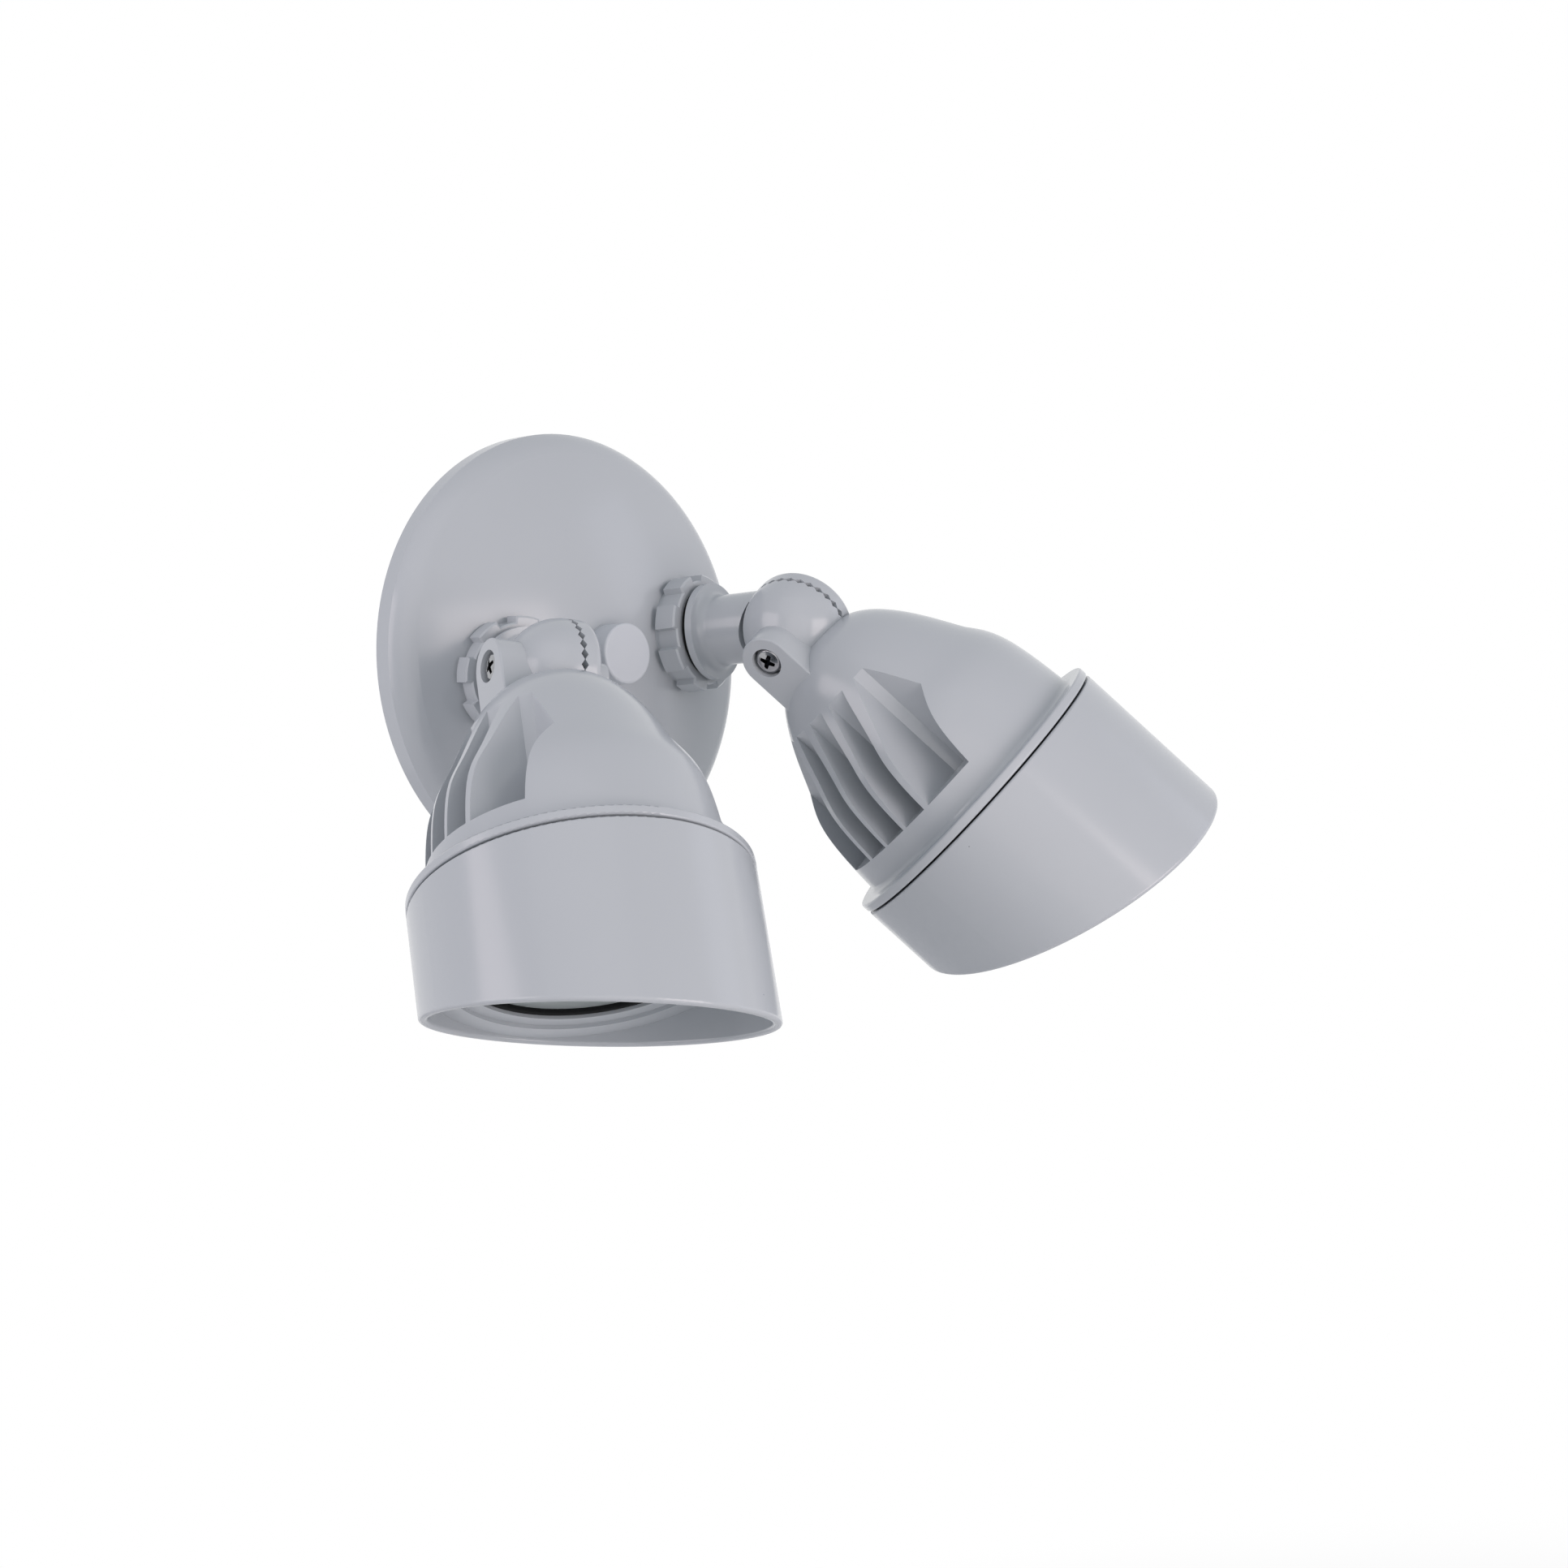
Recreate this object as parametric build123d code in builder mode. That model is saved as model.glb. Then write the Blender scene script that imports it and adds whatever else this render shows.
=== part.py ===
from build123d import *
from dataclasses import dataclass
from math import pi, radians, sqrt, tan
import os

# Twin-head outdoor floodlight on a round domed canopy, in millimetres.
# The origin is the centre of the canopy's back plane: +Y runs into the wall, +Z is up.

# Canopy
canopy_radius = 66.7
canopy_height = 25.5
dome_radius = 140.0
rim_height = 5.5
shoulder_width = 6.0
canopy_wall = 2.6
gasket_ledge_width = 6.4
gasket_ledge_wall = 2.4
gasket_thickness = 3.0

# Hubs on the dome, and the stems in them
hub_splay = 15.6
hub_offset = 34.9
hub_rise = 0.3
hub_pad_radius = 15.2
hub_boss_radius = 14.4
hub_boss_depth = 13.0
thread_radius = 10.4
turning_clearance = 0.06
wire_bore_radius = 6.5

# Lugged lock nut and the washer above it
nut_height = 6.5
nut_lug_radius = 17.5
nut_root_radius = 15.7
nut_lug_count = 8
nut_lug_width = 7.2
nut_edge_chamfer = 0.5
stem_gasket_thickness = 1.6
stem_gasket_radius = 13.2
face_gap = 0.2

# Arm: flange, neck and its half of the knuckle
stem_flange_radius = 14.45
stem_flange_thickness = 2.2
stem_fillet = 2.6
neck_radius = 10.5
neck_top_radius = 5.2
arm_reach = 32.3
joint_offset = 4.2
knuckle_radius = 16.0
arm_disc_thickness = 5.6
arm_disc_fillet = 2.2
screw_boss_radius = 4.9
screw_boss_length = 7.2
wire_bore_margin = 5.0

# Toothed faces of the knuckle, crest to crest
tooth_count = 32
tooth_depth = 0.95
tooth_land = 0.25
tooth_ring_inner_radius = 8.6
notch_start_radius = 4.3
tooth_gap = 0.3
knuckle_clearance = 0.6
o_ring_inner_radius = 3.6
o_ring_outer_radius = 7.4

# Lamp's half of the knuckle, measured from the toothed joint
ear_radius = 8.0
ear_end = 22.0
ear_reach = 20.0
ear_edge_fillet = 0.6
screw_recess_radius = 4.6
screw_recess_depth = 4.0
screw_radius = 2.0
screw_head_radius = 4.0
screw_head_height = 2.6
screw_head_round = 1.2
washer_radius = 4.3
washer_thickness = 1.0
screw_tip_margin = 1.0
pivot_clearance = 0.06

# Bullet housing, measured along the aim from the pivot
axis_sideways = 8.7
axis_upwards = 3.3
nose_start = 5.5
nose_radius = 17.0
nose_reach = 10.6
waist_radius = 33.2
waist_reach = 35.0
bullet_radius = 41.6
flank_lean = 3.4
flange_back = 68.8
flange_face = 71.6
flange_radius = 47.3
flange_fillet = 1.6
flange_edge_fillet = 0.6
front_bore_radius = 37.5
board_shelf = 62.5

# Fins left standing on a plain core in the two sides of the bullet
fin_count = 4
fin_pitch = 9.3
fin_crest = 1.2
fin_draft = 4.0
core_radius = 25.5
pocket_end = 60.3
pocket_depth_limit = 17.2
pocket_half_width = 29.0

# Visor: front ring and slanted hood
visor_back = 72.2
visor_wall = 2.6
hood_mid_reach = 109.2
hood_slant = 19.4
hood_rim_fillet = 1.0
visor_edge_fillet = 0.6
ledge_reach = 91.7
step_radius = 39.4
step_depth = 1.2
lens_bore_radius = 35.5
lens_seat = 84.2
lens_seat_inner_radius = 31.5
lens_seat_thickness = 2.0
spigot_back = 64.6
spigot_wall = 3.3
spigot_clearance = 0.2
visor_gasket_inset = 2.0
fit_clearance = 0.1

# Lens, its black ring and the light engine
lens_thickness = 4.0
lens_gasket_thickness = 1.5
lens_gasket_inner_radius = 31.0
board_thickness = 1.6
board_margin = 0.4
emitter_radius = 9.0
emitter_thickness = 1.0
board_screw_radius = 1.5
board_screw_head_radius = 2.8
board_screw_head_height = 1.8
board_screw_length = 9.0
board_screw_offset = 28.0
reflector_wall = 1.2
reflector_throat_radius = 11.5
reflector_mouth_radius = 29.5
reflector_rim = 2.4
reflector_bulge = 2.2
driver_width = 36.0
driver_depth = 20.0
driver_length = 26.0
driver_bay_clearance = 1.2
driver_bay_start = 32.0
driver_corner = 2.0

# Centre bolt, its plug and the strap on the junction box
plug_radius = 8.9
plug_height = 7.8
plug_edge_fillet = 0.8
plug_wall = 1.7
collar_height = 4.0
collar_wall = 1.5
apex_pad_margin = 0.4
bolt_radius = 2.4
bolt_head_radius = 4.4
bolt_head_height = 3.2
bolt_clearance = 0.3
bolt_boss_radius = 6.0
bolt_boss_depth = 9.0
strap_width = 18.0
strap_corner = 4.5
strap_end_margin = 1.6
strap_thickness = 2.0
slot_spacing = 88.9
slot_width = 5.0
slot_length = 12.0
earth_screw_place = 20.0
earth_screw_radius = 2.0
earth_head_radius = 3.6
earth_head_height = 2.2
earth_screw_length = 6.0

# Aim of the two lamps as photographed: pan about the stem, droop about the pivot
left_pan = -17.6
left_droop = 59.7
right_pan = 19.4
right_droop = 56.2

# Places worked out from the sizes above
stem_stack = nut_height + stem_gasket_thickness + 2 * face_gap
dome_centre_height = canopy_height - dome_radius
hub_bore_radius = thread_radius + turning_clearance
nut_back = -stem_gasket_thickness - face_gap - nut_height
hub_seat_height = dome_centre_height + sqrt(dome_radius**2 - hub_offset**2) + hub_rise
stub_end = -stem_stack - hub_boss_depth
wire_bore_end = arm_reach - knuckle_radius - knuckle_clearance - wire_bore_margin
seat_of_washer = ear_end - screw_recess_depth
boss_end = arm_disc_thickness + screw_boss_length
lens_front = lens_seat + lens_thickness
spigot_radius = front_bore_radius - spigot_clearance
spigot_inner_radius = spigot_radius - spigot_wall
board_front = board_shelf + board_thickness
hood_inner_radius = flange_radius - visor_wall
hood_long_reach = hood_mid_reach + flange_radius * tan(radians(hood_slant))
bay_width = driver_width + 2 * driver_bay_clearance
bay_depth = driver_depth + 2 * driver_bay_clearance
strap_length = slot_spacing + slot_length + 2 * strap_end_margin


@dataclass(frozen=True)
class Lamp:
    """Planes that place one lamp.

    hub: on the back of the stem flange, z along the stem and away from the canopy.
    arm: in the middle of the toothed joint, x along the stem, z along the pivot towards the screw.
    knuckle: the same with x along the aim.
    aim: on the lamp's own axis, x along the pivot, z along the aim.
    """

    name: str
    hub: Plane
    arm: Plane
    knuckle: Plane
    aim: Plane


def place_lamp(name, sign, pan, droop):
    """Work out one lamp's planes; sign is -1 on the left and 1 on the right."""
    splay = sign * hub_splay
    stem = Vector(0, -1, 0).rotate(Axis.Z, splay)
    level = Vector(-1, 0, 0).rotate(Axis.Z, splay)
    pivot_way = level.rotate(Axis((0, 0, 0), stem), pan)
    aim_way = stem.rotate(Axis((0, 0, 0), pivot_way), -droop)
    flange_centre = Vector(sign * hub_offset, -hub_seat_height, 0) + stem * stem_stack
    pivot = flange_centre + stem * arm_reach
    joint = pivot + pivot_way * joint_offset
    knuckle = Plane(origin=joint, x_dir=aim_way, z_dir=pivot_way)
    axis_start = pivot + pivot_way * axis_sideways + knuckle.y_dir * axis_upwards
    return Lamp(
        name,
        Plane(origin=flange_centre, x_dir=pivot_way, z_dir=stem),
        Plane(origin=joint, x_dir=stem, z_dir=pivot_way),
        knuckle,
        Plane(origin=axis_start, x_dir=pivot_way, z_dir=aim_way),
    )


def section(plane):
    """Plane through another plane's axis: x stays as it is and y runs along the axis."""
    return Plane(origin=plane.origin, x_dir=plane.x_dir, z_dir=-plane.y_dir)


def axis_of(plane):
    """The axis that stands on a plane."""
    return Axis(plane.origin, plane.z_dir)


def rims(builder, radius):
    """Circular edges of one radius on the part so far."""
    circles = builder.edges().filter_by(GeomType.CIRCLE)
    return circles.filter_by(lambda edge: abs(edge.radius - radius) < 0.001)


def is_square_to(face, plane):
    """Whether a face is flat and lies across a plane's axis."""
    return face.geom_type == GeomType.PLANE and abs(face.normal_at().dot(plane.z_dir)) > 0.999


def save(builder, name):
    """Label a finished piece and write it as its own STEP file."""
    builder.part.label = name
    export_step(builder.part, f"parts/{name}.step")


# Canopy: turned shell with a hub for each lamp and a collar for the plug
def make_canopy(lamps):
    shoulder_radius = canopy_radius - shoulder_width
    shoulder_height = dome_centre_height + sqrt(dome_radius**2 - shoulder_radius**2)
    inner_radius = canopy_radius - canopy_wall
    inner_dome = dome_radius - canopy_wall
    inner_edge = dome_centre_height + sqrt(inner_dome**2 - inner_radius**2)
    ledge_radius = inner_radius - gasket_ledge_width
    collar_radius = plug_radius - plug_wall
    with BuildPart() as canopy:
        with BuildSketch(Plane.XY):
            with BuildLine():
                Polyline((0, 0), (canopy_radius, 0), (canopy_radius, -rim_height))
                TangentArc(
                    (shoulder_radius, -shoulder_height),
                    (canopy_radius, -rim_height),
                    tangent=(shoulder_height - dome_centre_height, shoulder_radius),
                )
                ThreePointArc(
                    (shoulder_radius, -shoulder_height),
                    (shoulder_radius / 2, -dome_centre_height - sqrt(dome_radius**2 - shoulder_radius**2 / 4)),
                    (0, -canopy_height),
                )
                Line((0, -canopy_height), (0, 0))
            make_face()
        revolve(axis=Axis.Y)
        with BuildSketch(Plane.XY):
            with BuildLine():
                Polyline((0, 0), (inner_radius, 0), (inner_radius, -inner_edge))
                ThreePointArc(
                    (inner_radius, -inner_edge),
                    (inner_radius / 2, -dome_centre_height - sqrt(inner_dome**2 - inner_radius**2 / 4)),
                    (0, canopy_wall - canopy_height),
                )
                Line((0, canopy_wall - canopy_height), (0, 0))
            make_face()
        revolve(axis=Axis.Y, mode=Mode.SUBTRACT)
        # Ledge that the back gasket sits on
        with BuildSketch(Plane.XZ.offset(gasket_thickness)):
            Circle(inner_radius + canopy_wall / 2)
            Circle(ledge_radius, mode=Mode.SUBTRACT)
        extrude(amount=gasket_ledge_wall)
        # Flat pads and threaded bosses square to each stem
        for lamp in lamps:
            with BuildSketch(lamp.hub.offset(-stem_stack)):
                Circle(hub_pad_radius)
            extrude(amount=-canopy_wall)
            with BuildSketch(lamp.hub.offset(-stem_stack)):
                Circle(hub_boss_radius)
            extrude(amount=-hub_boss_depth)
            with BuildSketch(lamp.hub.offset(-stem_stack)):
                Circle(hub_bore_radius)
            extrude(amount=-2 * hub_boss_depth, mode=Mode.SUBTRACT)
        # Apex: flat pad, collar for the plug and boss for the centre bolt
        with BuildSketch(Plane.XZ.offset(canopy_height - bolt_boss_depth)):
            Circle(bolt_boss_radius)
        extrude(amount=bolt_boss_depth)
        with BuildSketch(Plane.XZ.offset(canopy_height - canopy_wall)):
            Circle(plug_radius + apex_pad_margin)
        extrude(amount=canopy_wall)
        with BuildSketch(Plane.XZ.offset(canopy_height)):
            Circle(collar_radius - fit_clearance)
            Circle(collar_radius - fit_clearance - collar_wall, mode=Mode.SUBTRACT)
        extrude(amount=collar_height)
        with BuildSketch(Plane.XZ.offset(canopy_height)):
            Circle(bolt_radius + bolt_clearance)
        extrude(amount=-canopy_height, mode=Mode.SUBTRACT)
    save(canopy, "canopy")

    with BuildPart() as canopy_gasket:
        with BuildSketch(Plane.XZ):
            Circle(inner_radius - fit_clearance)
            Circle(ledge_radius, mode=Mode.SUBTRACT)
        extrude(amount=gasket_thickness)
    save(canopy_gasket, "canopy_gasket")


# Strap, centre bolt, plug and earth screw
def make_wall_fixings():
    with BuildPart() as crossbar:
        with BuildSketch(Plane.XZ):
            RectangleRounded(strap_length, strap_width, strap_corner)
            with GridLocations(slot_spacing, 0, 2, 1):
                SlotOverall(slot_length, slot_width, mode=Mode.SUBTRACT)
            Circle(bolt_radius + fit_clearance, mode=Mode.SUBTRACT)
            with Locations((earth_screw_place, 0)):
                Circle(earth_screw_radius + fit_clearance, mode=Mode.SUBTRACT)
        extrude(amount=strap_thickness)
    save(crossbar, "crossbar")

    with BuildPart() as mounting_bolt:
        with BuildSketch(Plane.XZ):
            Circle(bolt_radius)
        extrude(amount=canopy_height)
        with BuildSketch(Plane.XZ.offset(canopy_height)):
            RegularPolygon(bolt_head_radius, 6)
        extrude(amount=bolt_head_height)
    save(mounting_bolt, "mounting_bolt")

    with BuildPart() as bolt_plug:
        with BuildSketch(Plane.XZ.offset(canopy_height)):
            Circle(plug_radius)
        extrude(amount=plug_height)
        fillet(bolt_plug.edges().group_by(Axis.Y)[0], plug_edge_fillet)
        with BuildSketch(Plane.XZ.offset(canopy_height)):
            Circle(plug_radius - plug_wall)
        extrude(amount=plug_height - plug_wall, mode=Mode.SUBTRACT)
    save(bolt_plug, "bolt_plug")

    with BuildPart() as ground_screw:
        with BuildSketch(Plane.XZ.offset(strap_thickness - earth_screw_length)):
            with Locations((earth_screw_place, 0)):
                Circle(earth_screw_radius)
        extrude(amount=earth_screw_length)
        with BuildSketch(Plane.XZ.offset(strap_thickness)):
            with Locations((earth_screw_place, 0)):
                RegularPolygon(earth_head_radius, 6)
        extrude(amount=earth_head_height)
    save(ground_screw, "ground_screw")


# Lugged lock nut and the black washer above it
def make_stem_rings(lamp):
    with BuildPart() as lock_nut:
        with BuildSketch(lamp.hub.offset(nut_back)):
            Circle(nut_root_radius)
            with PolarLocations(0, nut_lug_count):
                with Locations((nut_lug_radius / 2, 0)):
                    Rectangle(nut_lug_radius, nut_lug_width)
            Circle(nut_lug_radius, mode=Mode.INTERSECT)
            Circle(hub_bore_radius, mode=Mode.SUBTRACT)
        extrude(amount=nut_height)
        front_edges = lock_nut.faces().sort_by(axis_of(lamp.hub))[-1].outer_wire().edges()
        chamfer(front_edges, nut_edge_chamfer)
    save(lock_nut, f"lock_nut_{lamp.name}")

    with BuildPart() as stem_gasket:
        with BuildSketch(lamp.hub):
            Circle(stem_gasket_radius)
            Circle(thread_radius + fit_clearance, mode=Mode.SUBTRACT)
        extrude(amount=-stem_gasket_thickness)
    save(stem_gasket, f"stem_gasket_{lamp.name}")


# One notch between two knuckle teeth, lying along X with its mouth on the XY plane
def make_tooth_notch():
    outer = knuckle_radius + knuckle_clearance
    with BuildPart() as notch:
        for radius in (notch_start_radius, outer):
            scale = radius / knuckle_radius
            half_mouth = (pi * knuckle_radius / tooth_count - tooth_land / 2) * scale
            with BuildSketch(Plane.YZ.offset(radius)):
                Polygon((-half_mouth, 0), (half_mouth, 0), (0, -tooth_depth * scale), align=None)
        loft(ruled=True)
    return notch.part


# Cut a ring of teeth and the seal recess inside it into a knuckle face
def cut_teeth(face, notch):
    with BuildSketch(face) as recess:
        Circle(tooth_ring_inner_radius)
    extrude(recess.sketch, amount=-tooth_depth, mode=Mode.SUBTRACT)
    with Locations(face):
        with PolarLocations(0, tooth_count):
            add(notch, mode=Mode.SUBTRACT)


# Arm: threaded stub, flange, neck and toothed disc
def make_arm(lamp, notch):
    disc_face = lamp.arm.offset(-tooth_gap / 2)
    with BuildPart() as arm:
        with BuildSketch(section(lamp.hub)):
            with BuildLine():
                Polyline(
                    (0, stub_end),
                    (thread_radius, stub_end),
                    (thread_radius, 0),
                    (stem_flange_radius, 0),
                    (stem_flange_radius, stem_flange_thickness),
                    (neck_radius, stem_flange_thickness),
                    (neck_radius, arm_reach - neck_radius),
                    (neck_top_radius, arm_reach),
                    (0, arm_reach),
                    close=True,
                )
            make_face()
        revolve(axis=axis_of(lamp.hub))
        fillet(rims(arm, neck_radius).sort_by(axis_of(lamp.hub))[0], stem_fillet)
        # The lamp's ball swings here, on the screw side of the toothed joint
        with BuildSketch(disc_face):
            Circle(knuckle_radius + knuckle_clearance)
        extrude(amount=2 * neck_radius, mode=Mode.SUBTRACT)
        # Toothed disc with a rounded back, and the tapped boss for the screw
        round_middle = knuckle_radius - arm_disc_fillet
        with BuildSketch(section(disc_face)):
            with BuildLine():
                Polyline((0, 0), (knuckle_radius, 0), (knuckle_radius, arm_disc_fillet - arm_disc_thickness))
                CenterArc((round_middle, arm_disc_fillet - arm_disc_thickness), arm_disc_fillet, 0, -90)
                Polyline(
                    (round_middle, -arm_disc_thickness),
                    (screw_boss_radius, -arm_disc_thickness),
                    (screw_boss_radius, -boss_end),
                    (0, -boss_end),
                    (0, 0),
                )
            make_face()
        revolve(axis=axis_of(lamp.arm))
        cut_teeth(disc_face, notch)
        with BuildSketch(disc_face):
            Circle(screw_radius + fit_clearance)
        extrude(amount=-boss_end, mode=Mode.SUBTRACT)
        with BuildSketch(lamp.hub.offset(stub_end)):
            Circle(wire_bore_radius)
        extrude(amount=wire_bore_end - stub_end, mode=Mode.SUBTRACT)
    save(arm, f"arm_{lamp.name}")


# Screw, washer and seal that hold the knuckle together
def make_knuckle_fittings(lamp):
    head_seat = seat_of_washer + washer_thickness
    with BuildPart() as knuckle_screw:
        with BuildSketch(lamp.arm.offset(screw_tip_margin - boss_end)):
            Circle(screw_radius)
        extrude(amount=head_seat + boss_end - screw_tip_margin)
        with BuildSketch(lamp.arm.offset(head_seat)):
            Circle(screw_head_radius)
        extrude(amount=screw_head_height)
        fillet(knuckle_screw.edges().sort_by(axis_of(lamp.arm))[-1], screw_head_round)
    save(knuckle_screw, f"knuckle_screw_{lamp.name}")

    with BuildPart() as knuckle_washer:
        with BuildSketch(lamp.arm.offset(seat_of_washer + face_gap)):
            Circle(washer_radius)
            Circle(screw_radius + fit_clearance, mode=Mode.SUBTRACT)
        extrude(amount=washer_thickness - face_gap)
    save(knuckle_washer, f"knuckle_washer_{lamp.name}")

    with BuildPart() as knuckle_o_ring:
        with BuildSketch(lamp.arm.offset(-tooth_gap / 2 - tooth_depth)):
            Circle(o_ring_outer_radius)
            Circle(o_ring_inner_radius, mode=Mode.SUBTRACT)
        extrude(amount=2 * tooth_depth)
    save(knuckle_o_ring, f"knuckle_o_ring_{lamp.name}")


# Finned bullet casting with the lamp's half of the knuckle
def make_housing(lamp, notch):
    ball_face = lamp.knuckle.offset(tooth_gap / 2)
    with BuildPart() as housing:
        with BuildSketch(section(lamp.aim)):
            with BuildLine():
                Spline(
                    (0, nose_start),
                    (nose_radius, nose_reach),
                    (waist_radius, waist_reach),
                    (bullet_radius, flange_back),
                    tangents=((1, 0), (tan(radians(flank_lean)), 1)),
                )
                Polyline(
                    (bullet_radius, flange_back),
                    (flange_radius, flange_back),
                    (flange_radius, flange_face),
                    (0, flange_face),
                    (0, nose_start),
                )
            make_face()
        revolve(axis=axis_of(lamp.aim))
        fillet(rims(housing, bullet_radius), flange_fillet)
        fillet(rims(housing, flange_radius), flange_edge_fillet)
        # Half ball around the pivot, and the ear that carries the screw down into the bullet
        with BuildSketch(section(ball_face)):
            with BuildLine():
                Polyline((0, knuckle_radius), (0, 0), (knuckle_radius, 0))
                CenterArc((0, 0), knuckle_radius, 0, 90)
            make_face()
        revolve(axis=axis_of(ball_face))
        with BuildSketch(ball_face):
            Circle(ear_radius)
            with Locations((ear_reach / 2, 0)):
                Rectangle(ear_reach, 2 * ear_radius)
        extrude(amount=ear_end - tooth_gap / 2)
        ear_faces = housing.faces(Select.LAST).filter_by(lambda face: is_square_to(face, lamp.knuckle))
        fillet(ear_faces.sort_by(axis_of(lamp.knuckle))[-1].edges(), ear_edge_fillet)
        # Room for the arm's disc and boss as the lamp tilts
        with BuildSketch(ball_face):
            Circle(knuckle_radius + knuckle_clearance)
        extrude(amount=-boss_end - 2 * knuckle_clearance, mode=Mode.SUBTRACT)
        # Notches stand opposite the arm's at rest
        cut_teeth(-lamp.arm.offset(tooth_gap / 2), notch)
        with BuildSketch(lamp.knuckle.offset(seat_of_washer)):
            Circle(screw_recess_radius)
        extrude(amount=2 * screw_recess_depth, mode=Mode.SUBTRACT)
        with BuildSketch(lamp.knuckle):
            Circle(screw_radius + pivot_clearance)
        extrude(amount=ear_end, mode=Mode.SUBTRACT)
        # Side pockets: what lies round the core is cut away, and drafted fins stay standing
        fin_root = fin_crest / 2 + bullet_radius * tan(radians(fin_draft))
        half_fin = ((-bullet_radius, fin_crest / 2), (0, fin_root), (bullet_radius, fin_crest / 2))
        with BuildSketch(lamp.aim.offset(pocket_end)):
            Rectangle(2 * bullet_radius, 2 * pocket_half_width)
            Rectangle(2 * pocket_depth_limit, 2 * pocket_half_width, mode=Mode.SUBTRACT)
            Circle(core_radius, mode=Mode.SUBTRACT)
            with GridLocations(0, fin_pitch, 1, fin_count):
                Polygon(*half_fin, *[(-x, -y) for x, y in half_fin], align=None, mode=Mode.SUBTRACT)
        extrude(amount=nose_reach - pocket_end, mode=Mode.SUBTRACT)
        # Front bore for the visor's spigot, and the driver's bay behind the board
        with BuildSketch(lamp.aim.offset(board_shelf)):
            Circle(front_bore_radius)
        extrude(amount=flange_face - board_shelf, mode=Mode.SUBTRACT)
        with BuildSketch(lamp.aim.offset(driver_bay_start)):
            RectangleRounded(bay_depth, bay_width, driver_corner + driver_bay_clearance)
        extrude(amount=board_shelf - driver_bay_start, mode=Mode.SUBTRACT)
        with BuildSketch(lamp.aim.offset(board_shelf)):
            with GridLocations(0, 2 * board_screw_offset, 1, 2):
                Circle(board_screw_radius + fit_clearance)
        extrude(amount=-board_screw_length, mode=Mode.SUBTRACT)
    save(housing, f"housing_{lamp.name}")


# Visor: threaded spigot, lens seat and slanted hood in one casting
def make_visor(lamp):
    step_reach = ledge_reach - step_depth
    cut_plane = Plane(
        origin=lamp.aim.origin + lamp.aim.z_dir * hood_mid_reach,
        x_dir=lamp.aim.x_dir,
        z_dir=lamp.aim.z_dir.rotate(Axis((0, 0, 0), lamp.aim.x_dir), -hood_slant),
    )
    with BuildPart() as visor:
        with BuildSketch(section(lamp.aim)):
            with BuildLine():
                Polyline(
                    (spigot_inner_radius, spigot_back),
                    (spigot_radius, spigot_back),
                    (spigot_radius, visor_back),
                    (flange_radius, visor_back),
                    (flange_radius, hood_long_reach + visor_wall),
                    (hood_inner_radius, hood_long_reach + visor_wall),
                    (hood_inner_radius, ledge_reach),
                    (step_radius, ledge_reach),
                    (step_radius, step_reach),
                    (lens_bore_radius, step_reach),
                    (lens_bore_radius, lens_seat),
                    (lens_seat_inner_radius, lens_seat),
                    (lens_seat_inner_radius, lens_seat - lens_seat_thickness),
                    (spigot_inner_radius, lens_seat - lens_seat_thickness),
                    close=True,
                )
            make_face()
        revolve(axis=axis_of(lamp.aim))
        split(bisect_by=cut_plane, keep=Keep.BOTTOM)
        rim = visor.faces().filter_by(lambda face: is_square_to(face, cut_plane))
        fillet(rim.sort_by(axis_of(cut_plane))[-1].edges(), hood_rim_fillet)
        fillet(rims(visor, flange_radius).sort_by(axis_of(lamp.aim))[0], visor_edge_fillet)
    save(visor, f"visor_{lamp.name}")

    with BuildPart() as visor_gasket:
        with BuildSketch(lamp.aim.offset(flange_face)):
            Circle(flange_radius - visor_gasket_inset)
            Circle(front_bore_radius, mode=Mode.SUBTRACT)
        extrude(amount=visor_back - flange_face)
    save(visor_gasket, f"visor_gasket_{lamp.name}")


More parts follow.
